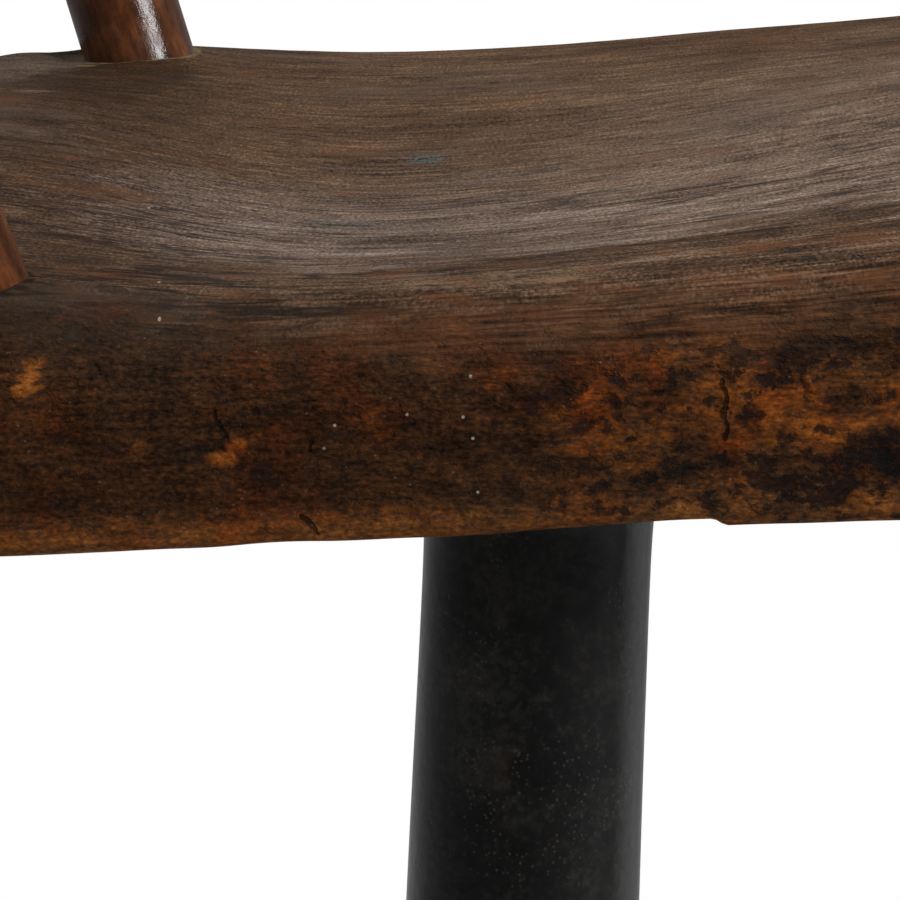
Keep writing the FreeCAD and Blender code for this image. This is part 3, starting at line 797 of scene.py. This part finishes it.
def top_colour(s, grain):
    """Brown patina, greyer in a band of painted sheen, with dark grain lines, painted light and shadows and
    a few marks.
    Also returns the fibres and the fissures."""
    x, y = s.axes(s.place)[:2]
    near = s.step(x, -0.085, -0.135)
    tone, fibre, patch = top_tone(s, grain, x, near)
    wander = s.times(s.centred(patch), 0.14)
    colour = worn_top(s, x, y, tone, wander)
    cool = s.noise(s.stretched(s.moved(s.place, (0.9, 0.2, 0.6)), (1, 0.4, 1)), 36, 4, 0.6)
    colour = discoloured(s, colour, near, cool)
    fissure = fissures(s, grain, x, cool)
    colour = s.mix(fissure, colour, linear(30, 20, 14))
    nicks = s.noise(s.stretched(s.moved(grain, (0.6, 0.3, 0.2)), (1, 0.3, 1)), 330, 2, 0.55)
    colour = s.tint(colour, (34, 24, 17), s.step(nicks, 0.66, 0.72), 0.6)
    colour = s.tint(colour, (52, 26, 14), s.line(x, y, *TOP_SPLIT), 0.7)
    return top_marks(s, colour, x, y, tone, wander), fibre, fissure


# Plank's edge

def edge_band(s, y, z, shown):
    """Long worn band that sinks towards the back, on the middle of the right edge."""
    height = s.plus(s.times(y, -0.08), -0.0280)
    away = s.math("ABSOLUTE", s.minus(z, height))
    return s.times(s.step(away, 0.0080, 0.0010), s.times(s.step(y, 0.050, 0.000), shown))


def edge_bare(s, y, z, band, strip, relief):
    """How far the bare wood shows: on the band, on the lowest strip and in the wear patches."""
    bare = s.blend(band, 0.09, strip, 0.12)
    bare = s.minus(bare, s.times(s.step(y, 0.060, -0.020), 0.008))
    for centre, half, strength in WEAR_PATCHES:
        patch = s.times(s.spot(y, z, centre, half), s.step(relief, 0.40, 0.56))
        bare = s.plus(bare, s.times(patch, strength))
    return bare


def edge_wood(s, y, bare, body, relief, threads):
    """Cloudy stained wood, calmer towards the back and the front end, lighter where it is bare."""
    back = s.larger(s.step(y, 0.000, 0.065), s.step(y, -0.080, -0.150))
    clouds = s.minus(s.blend(body, 0.65, relief, 0.25), 0.45)
    clouds = s.times(clouds, s.minus(1.0, s.times(back, 0.75)))
    tone = s.plus(clouds, s.plus(threads, 0.229))
    tone = s.plus(tone, s.minus(bare, s.times(back, 0.02)))
    return s.ramp(tone, EDGE_SHADES)


def edge_dirt(s, rough_place, y, z, band, shown, grit):
    """Where black dirt has settled, and how far it covers the wood."""
    dirt = s.noise(s.moved(s.stretched(rough_place, (1, 0.7, 1)), (3.1, 1.7, 0.4)), 290, 5, 0.64)
    low_front = s.times(s.step(z, -0.0290, -0.0330), s.times(s.step(y, 0.035, 0.010), shown))
    dirt = s.plus(dirt, s.times(low_front, 0.03))
    stained = 0.0
    for centre, half in STAINS:
        stained = s.larger(s.spot(y, z, centre, half), stained)
    dirt = s.plus(dirt, s.times(stained, 0.055))
    dirt = s.minus(dirt, s.times(band, 0.05))
    dirt = s.plus(dirt, s.times(grit, 0.07))
    dirt = s.minus(dirt, s.times(s.step(z, -0.0420, -0.0445), 0.06))
    cover = s.plus(0.26, s.times(s.times(s.step(y, 0.050, 0.015), shown), 0.58))
    return s.step(dirt, 0.505, 0.600), s.larger(cover, s.times(stained, 0.7))


def edge_colour(s, grain, rough_place):
    """Dark patina over orange wood: worn through in spots, black where dirt has settled.
    Also returns its large clouds and its height."""
    y, z = s.axes(rough_place)[1:]
    flattened = s.stretched(rough_place, (1, 0.5, 1))
    body = s.noise(flattened, 120, 4, 0.65)
    fibre = s.noise(s.stretched(grain, (1, 0.12, 1)), 700, 2, 0.65)
    speckle = s.noise(s.stretched(s.place, (1, 0.6, 1)), 1400, 1, 0.6)
    relief = s.noise(flattened, 170, 4, 0.6)
    fine = s.noise(s.stretched(s.place, (1, 0.3, 1)), 800, 2, 0.5)
    shown = s.step(y, -0.150, -0.080)
    band = edge_band(s, y, z, shown)
    strip = s.step(z, -0.0380, -0.0440)
    bare = edge_bare(s, y, z, band, strip, relief)
    colour = edge_wood(s, y, bare, body, relief, s.blend(fibre, 0.22, speckle, 0.30))
    hue = s.noise(s.moved(s.place, (0.4, 0.8, 2.2)), 55, 4, 0.6)
    colour = s.mix(s.step(hue, 0.50, 0.62), colour, (1.15, 0.86, 0.70, 1), "MULTIPLY")
    colour = s.mix(s.step(hue, 0.48, 0.36), colour, (0.88, 1.0, 1.12, 1), "MULTIPLY")
    colour = s.mix(strip, colour, (1.0, 1.15, 1.4, 1), "MULTIPLY")
    grit = s.minus(s.plus(fibre, s.times(speckle, 2)), 1.5)
    dirt, cover = edge_dirt(s, rough_place, y, z, band, shown, grit)
    colour = s.tint(colour, (20, 19, 19), dirt, cover)
    height = s.minus(s.plus(relief, s.times(fine, 0.3)), s.times(dirt, 0.08))
    return colour, body, height


def edge_cracks(s):
    """Short splits across the right edge; the dark in them is painted shade."""
    x, y, z = s.axes(s.jittered(260, 3, 0.6, (0, 0.0035, 0.0035)))
    cracks = 0.0
    for start, end, half_width in CRACKS:
        cracks = s.larger(s.line(y, z, start, end, half_width), cracks)
    return s.times(cracks, s.step(x, -0.15, -0.16))


def painted_lit_shoulder(s, edge, grain, streak, round_share, along):
    """The edge's colour, with painted light in streaky brown over its rounding, except at the back."""
    shoulder = s.times(s.step(round_share, 0.05, 0.35), s.step(round_share, 0.98, 0.60))
    shoulder = s.times(shoulder, s.step(along, 0.105, 0.000))
    # Painted light: the lit colours of the rounding
    lit = s.ramp(streak, [(0.36, (34, 20, 12)), (0.64, (124, 82, 52))])
    strokes = s.step(s.noise(s.stretched(grain, (1, 0.3, 1)), 150, 4, 0.62), 0.46, 0.37)
    lit = s.tint(lit, (24, 19, 17), strokes, 0.65)
    return s.mix(s.times(shoulder, 0.8), edge, lit)


# Materials

def pale_specks(s):
    """The few pale specks on the right edge and on the top."""
    x, y, z = s.axes(s.place)
    on_edge, on_top = 0.0, 0.0
    for place in EDGE_SPECKS:
        on_edge = s.larger(s.spot(y, z, place, (SPECK, SPECK)), on_edge)
    for place in TOP_SPECKS:
        on_top = s.larger(s.spot(x, y, place, (3 * SPECK, SPECK)), on_top)
    on_edge = s.times(on_edge, s.step(x, -0.13, -0.15))
    on_top = s.times(on_top, s.step(z, -0.030, -0.020))
    return s.larger(on_edge, on_top)


def seat_material():
    """Dry hewn plank: brown worn top, dark stained edges with orange wear and black stains."""
    s = Shader("worn_plank")
    along = s.axes(s.place)[1]
    wave = s.centred(s.noise(s.stretched(s.place, (1, 0.35, 1)), 32, 2, 0.5))
    grain = s.moved(s.place, s.stretched(wave, (0.004, 0, 0.004)))
    rough_place = s.jittered(140, 4, 0.65, (0.0025, 0.0025, 0.0025))
    top, streak, fissure = top_colour(s, grain)
    edge, body, height = edge_colour(s, grain, rough_place)
    cracks = edge_cracks(s)
    round_share = s.attribute("rim")
    rim = s.step(s.plus(round_share, s.times(s.centred(body), 1.4)), 0.05, 0.80)
    colour = s.mix(rim, top, painted_lit_shoulder(s, edge, grain, streak, round_share, along))
    corner = s.times(s.step(round_share, 0.02, 0.15), s.step(round_share, 0.95, 0.60))
    colour = s.tint(colour, (44, 38, 31), s.times(corner, s.step(along, 0.070, 0.105)), 0.45)
    # Painted shade inside the edge's cracks
    colour = s.tint(colour, DEEP_GAP_SHADE, cracks, 0.75)
    colour = s.tint(colour, (176, 166, 154), pale_specks(s), 0.7)
    dust = s.times(s.step(s.cells(s.place, 520), 0.16, 0.06), s.step(body, 0.44, 0.60))
    colour = s.tint(colour, (128, 112, 96), s.times(dust, rim), 0.35)
    s.put_surface("Base Color", colour)
    s.put_surface("Roughness", s.plus(s.times(streak, 0.4), 0.35))
    s.put_surface("Specular IOR Level", PLANK_GLOSS)
    fibres = s.bump(s.minus(streak, s.times(fissure, 0.3)), 0.15 * MILLIMETRE)
    hollows = s.minus(s.times(height, round_share), s.times(cracks, 0.4))
    s.put_surface("Normal", s.bump(hollows, 3 * MILLIMETRE, fibres))
    return s.material


def varnish_material(name, along, mottle, cloud_stretch, gloss):
    """Reddish-brown varnished wood with the grain along one axis of the piece.
    mottle is the share of cloudy colour in it, cloud_stretch the clouds' scale along the grain."""
    s = Shader(name)
    grain = s.stretched(s.place, tuple(0.08 if axis == along else 1 for axis in "xyz"))
    mottled = s.stretched(s.place, tuple(cloud_stretch if axis == along else 1 for axis in "xyz"))
    streak = s.noise(grain, 420, 5, 0.7)
    cloud = s.noise(mottled, 170, 7, 0.7)
    s.put_surface("Base Color", s.ramp(s.blend(streak, 1 - mottle, cloud, mottle), VARNISH_SHADES))
    dull = s.step(s.noise(s.moved(s.place, (0.5, 0.2, 0.7)), 70, 3, 0.6), 0.42, 0.62)
    s.put_surface("Roughness", s.plus(s.blend(cloud, 0.26, dull, 0.25), 0.06))
    s.put_surface("Specular IOR Level", gloss)
    uneven = s.noise(s.place, 90, 2, 0.4)
    pores = s.bump(s.noise(mottled, 900, 3, 0.7), 0.1 * MILLIMETRE)
    s.put_surface("Normal", s.bump(uneven, 0.5 * MILLIMETRE, pores))
    return s.material


def black_material():
    """Satin black finish over wood, with pale dust specks and a few rubbed spots."""
    s = Shader("black_legs")
    patch = s.noise(s.place, 45, 6, 0.68)
    dust = s.noise(s.place, 620, 4, 0.72)
    colour = s.ramp(s.blend(patch, 0.55, dust, 0.45), BLACK_SHADES)
    rubbed_and_sheen = s.step(s.noise(s.moved(s.place, (0.7, 2.3, 0.4)), 22, 5, 0.65), 0.58, 0.72)
    colour = s.tint(colour, (66, 48, 34), rubbed_and_sheen, 0.3)
    speck = s.step(s.cells(s.place, 900), 0.30, 0.12)
    sparse = s.step(s.noise(s.place, 60, 3), 0.48, 0.62)
    colour = s.tint(colour, (80, 78, 74), s.times(speck, sparse), 0.4)
    s.put_surface("Base Color", colour)
    s.put_surface("Roughness", s.plus(s.times(patch, 0.25), 0.22))
    s.put_surface("Specular IOR Level", LEG_GLOSS)
    s.put_surface("Normal", s.bump(s.noise(s.place, 300, 2, 0.5), 0.12 * MILLIMETRE))
    return s.material


def peg_material():
    """Plain unvarnished pegs and wedges, end grain showing."""
    s = Shader("peg_wood")
    tone = s.noise(s.place, 900, 3)
    s.put_surface("Base Color", s.ramp(tone, PEG_SHADES))
    s.put_surface("Roughness", 0.55)
    s.put_surface("Normal", s.bump(tone, 0.2 * MILLIMETRE))
    return s.material


# Scene

def build_chair():
    plank = seat_material()
    black = black_material()
    post_varnish = {name: varnish_material("varnish_" + name + "_post", "z", 0.7, 0.5, POST_GLOSS[name])
                    for name in ("left", "right")}
    rail_varnish = varnish_material("varnish_rail", "x", 0.4, 0.15, RAIL_GLOSS)
    pegs = peg_material()
    build_seat(plank)
    middles = {}
    for name, side in SIDES.items():
        build_leg(name + "_rear_leg", side, REAR_LEG_LINE, REAR_LEG_RAKE, black)
        build_leg(name + "_front_leg", side, FRONT_LEG_LINE, FRONT_LEG_RAKE, black)
        rear = leg_axis_point(side, REAR_LEG_LINE, REAR_LEG_RAKE, STRETCHER_HEIGHT)
        front = leg_axis_point(side, FRONT_LEG_LINE, FRONT_LEG_RAKE, STRETCHER_HEIGHT)
        build_stretcher(name + "_side_stretcher", rear, front, Vector((1, 0, 0)),
                        SIDE_STRETCHER_END, SIDE_STRETCHER_SWELL, LEG_SWELL, black)
        middles[name] = (rear + front) / 2
        build_post(name + "_back_post", side, post_varnish[name])
    build_stretcher("cross_stretcher", middles["right"], middles["left"], Vector((0, 1, 0)),
                    CROSS_STRETCHER_END, CROSS_STRETCHER_SWELL, SIDE_STRETCHER_SWELL, black)
    remeshed("crest_rail", CREST_VOXEL, CREST_RELIEF, rail_varnish)
    remeshed("back_slat", SLAT_VOXEL, SLAT_RELIEF, rail_varnish)
    for node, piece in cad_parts.items():
        if node.endswith(("peg", "wedge")):
            piece.data.materials.clear()
            piece.data.materials.append(pegs)


def add_area_light(name, place, target, width, height, power):
    light = bpy.data.lights.new(name, "AREA")
    light.shape = "RECTANGLE"
    light.size, light.size_y = width, height
    light.energy = power
    lamp = bpy.data.objects.new(name, light)
    bpy.context.scene.collection.objects.link(lamp)
    lamp.location = place
    lamp.rotation_euler = (Vector(target) - Vector(place)).to_track_quat("-Z", "Y").to_euler()
    lamp.visible_camera = False


def build_floor():
    """Pale floor that takes the shadow near the chair and turns plain white further out."""
    mesh = bpy.data.meshes.new("floor")
    corners = [(x * FLOOR_REACH, y * FLOOR_REACH, 0) for x, y in ((-1, -1), (1, -1), (1, 1), (-1, 1))]
    mesh.from_pydata(corners, [], [(0, 1, 2, 3)])
    floor = bpy.data.objects.new("floor", mesh)
    bpy.context.scene.collection.objects.link(floor)
    s = Shader("floor")
    s.put_surface("Base Color", (0.9, 0.9, 0.9, 1))
    s.put_surface("Roughness", 0.8)
    glow = s.tree.nodes.new("ShaderNodeEmission")
    mixer = s.tree.nodes.new("ShaderNodeMixShader")
    path = s.tree.nodes.new("ShaderNodeLightPath")
    far = s.step(s.vector("LENGTH", s.place, (0, 0, 0)), *FLOOR_FADE)
    share = s.plus(s.times(far, 1 - FLOOR_GLOW), FLOOR_GLOW)
    s.put(s.times(share, path.outputs["Is Camera Ray"]), mixer.inputs["Fac"])
    s.put(s.surface.outputs["BSDF"], mixer.inputs[1])
    s.put(glow.outputs["Emission"], mixer.inputs[2])
    s.put(mixer.outputs["Shader"], s.tree.nodes["Material Output"].inputs["Surface"])
    mesh.materials.append(s.material)


def build_world():
    """White to the camera; a soft studio for light, brighter behind the chair than in front of it."""
    world = bpy.data.worlds.new("studio")
    bpy.context.scene.world = world
    world.use_nodes = True
    tree = world.node_tree
    background = tree.nodes["Background"]
    place = tree.nodes.new("ShaderNodeTexCoord").outputs["Generated"]
    towards = tree.nodes.new("ShaderNodeVectorMath")
    towards.operation = "DOT_PRODUCT"
    tree.links.new(place, towards.inputs[0])
    towards.inputs[1].default_value = STUDIO_BEHIND
    behind = tree.nodes.new("ShaderNodeMapRange")
    tree.links.new(towards.outputs["Value"], behind.inputs["Value"])
    behind.inputs["From Min"].default_value, behind.inputs["From Max"].default_value = STUDIO_TURN
    behind.inputs["To Min"].default_value, behind.inputs["To Max"].default_value = STUDIO_LEVELS
    path = tree.nodes.new("ShaderNodeLightPath")
    seen = tree.nodes.new("ShaderNodeMath")
    seen.operation = "MAXIMUM"
    tree.links.new(path.outputs["Is Camera Ray"], seen.inputs[0])
    tree.links.new(path.outputs["Is Transmission Ray"], seen.inputs[1])
    strength = tree.nodes.new("ShaderNodeMath")
    strength.operation = "MAXIMUM"
    tree.links.new(seen.outputs[0], strength.inputs[0])
    tree.links.new(behind.outputs["Result"], strength.inputs[1])
    tree.links.new(strength.outputs[0], background.inputs["Strength"])
    background.inputs["Color"].default_value = (1, 1, 1, 1)


def build_camera():
    """The photo's camera, fitted to the seat, post and leg outlines."""
    camera = bpy.data.objects.new("camera", bpy.data.cameras.new("camera"))
    bpy.context.scene.collection.objects.link(camera)
    camera.data.lens = CAMERA_LENS
    camera.data.sensor_width = CAMERA_SENSOR
    camera.data.clip_start = 0.01
    level = math.cos(CAMERA_DOWN)
    ahead = Vector((level * math.cos(CAMERA_TURN), level * math.sin(CAMERA_TURN), -math.sin(CAMERA_DOWN)))
    camera.location = CAMERA_PLACE
    camera.rotation_euler = ahead.to_track_quat("-Z", "Y").to_euler()
    bpy.context.scene.camera = camera


build_chair()
build_floor()
build_world()
build_camera()
for light in LIGHTS:
    add_area_light(*light)
bpy.context.scene.view_settings.view_transform = "Standard"
